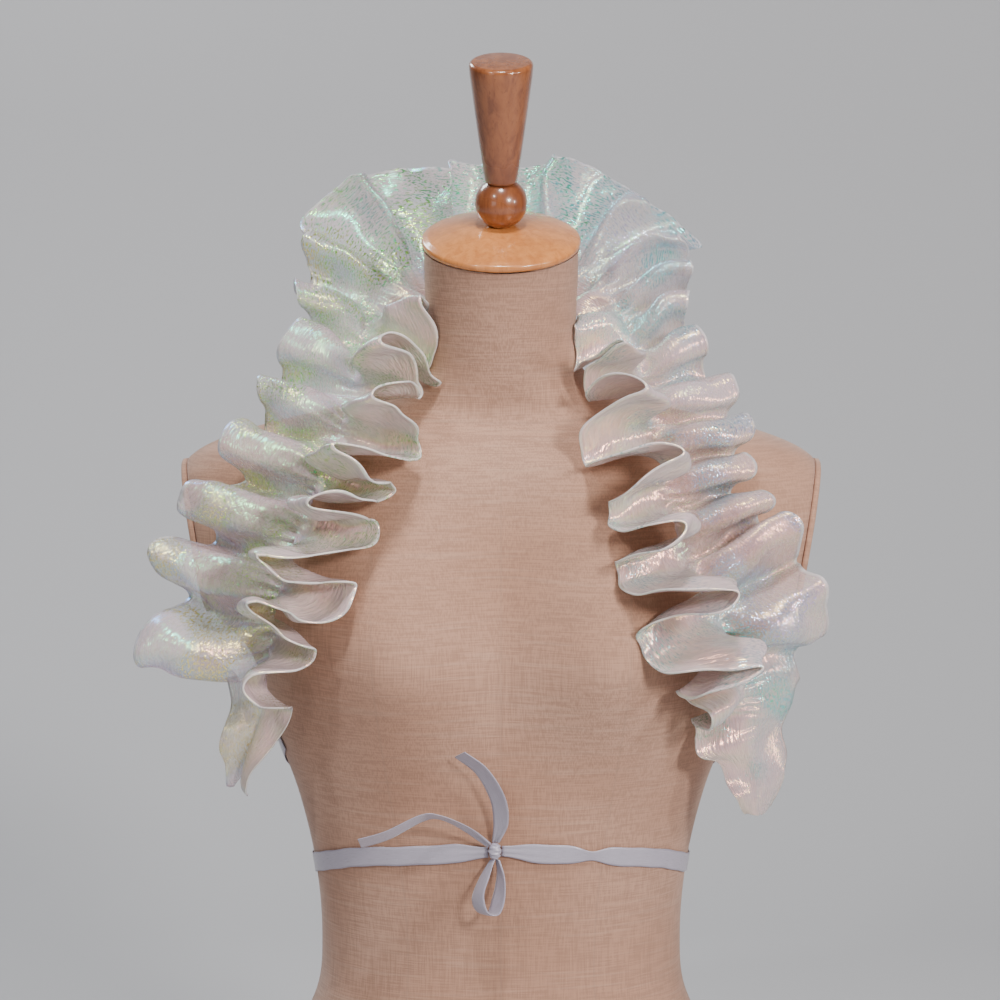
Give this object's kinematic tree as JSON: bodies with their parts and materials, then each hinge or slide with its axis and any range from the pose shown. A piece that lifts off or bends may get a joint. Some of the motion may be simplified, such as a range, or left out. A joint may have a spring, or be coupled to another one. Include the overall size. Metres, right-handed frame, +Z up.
{
  "type": "ruffled collar capelet on a limbless dress form",
  "caption": "Collar capelet of gathered iridescent organza with ribbon ties, worn on a linen covered dress form with a turned wooden neck cap and finial.",
  "frame": {"origin": "middle of the base board's flat underside", "axes": "+Z up through the neck, -Y towards the front of the figure, +X to the right as seen from the front"},
  "size_m": [0.4428, 0.265, 0.7836],
  "materials": {
    "linen": "plain woven linen stretched over a firm body",
    "board": "plain sanded board",
    "beech": "clear gloss lacquer on orange beech",
    "stained": "gloss lacquer on reddish brown wood",
    "organza": "crinkled translucent organza with a pearl shimmer",
    "satin": "soft satin ribbon"
  },
  "bodies": {
    "root": {"form_torso": "linen", "arm_plate_left": "linen", "arm_plate_right": "linen", "base_board": "board", "neck_cap": "beech", "finial_ball": "stained", "finial_handle": "stained", "ruffle_left": "organza", "ruffle_right": "organza", "ribbon_left": "satin", "ribbon_right": "satin", "ribbon_knot": "satin", "ribbon_loop": "satin", "ribbon_end_up": "satin", "ribbon_end_side": "satin"}
  },
  "joints": []
}
